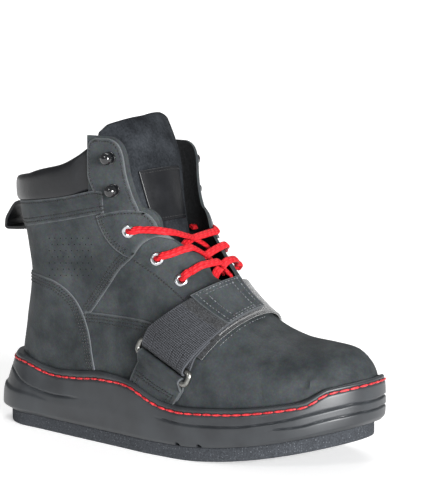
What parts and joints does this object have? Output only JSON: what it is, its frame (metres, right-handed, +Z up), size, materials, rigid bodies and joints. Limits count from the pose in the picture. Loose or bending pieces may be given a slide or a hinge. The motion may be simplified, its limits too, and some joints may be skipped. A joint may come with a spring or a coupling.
{
  "type": "roofing work boot",
  "caption": "Right lace-up leather work boot for roofs, with a padded collar, an instep strap through side rings and a moulded cup sole over a flat foam traction pad.",
  "frame": {"origin": "flat underside of the traction pad, on its centre line and halfway along its length", "axes": "+X towards the toe, -Y towards the outer (lateral) side, +Z up"},
  "size_m": [0.3151, 0.1218, 0.2288],
  "materials": {
    "oiled_leather": "matt oiled nubuck",
    "smooth_leather": "smooth semi-gloss",
    "footbed_cloth": "knitted",
    "moulded_rubber": "satin",
    "foam_rubber": "speckled foam",
    "ribbed_webbing": "ribbed",
    "red_braid": "braided",
    "bright_nickel": "polished",
    "dark_pewter": "worn pewter",
    "black_enamel": "gloss"
  },
  "bodies": {
    "root": {"collar": "smooth_leather", "eyelet_lateral_1": "bright_nickel", "eyelet_lateral_2": "bright_nickel", "eyelet_lateral_3": "bright_nickel", "eyelet_medial_1": "bright_nickel", "eyelet_medial_2": "bright_nickel", "eyelet_medial_3": "bright_nickel", "hook_lateral_1": "black_enamel", "hook_lateral_2": "black_enamel", "hook_medial_1": "black_enamel", "hook_medial_2": "black_enamel", "insole": "footbed_cloth", "lace_cross_1": "red_braid", "lace_cross_2": "red_braid", "lace_cross_3": "red_braid", "outsole": "moulded_rubber", "pull_loop": "smooth_leather", "ring_lateral": "dark_pewter", "ring_medial": "dark_pewter", "ring_tab_lateral": "oiled_leather", "ring_tab_medial": "oiled_leather", "strap": "ribbed_webbing", "strap_patch": "oiled_leather", "tongue": "oiled_leather", "traction_pad": "foam_rubber", "upper": "oiled_leather"}
  },
  "joints": []
}
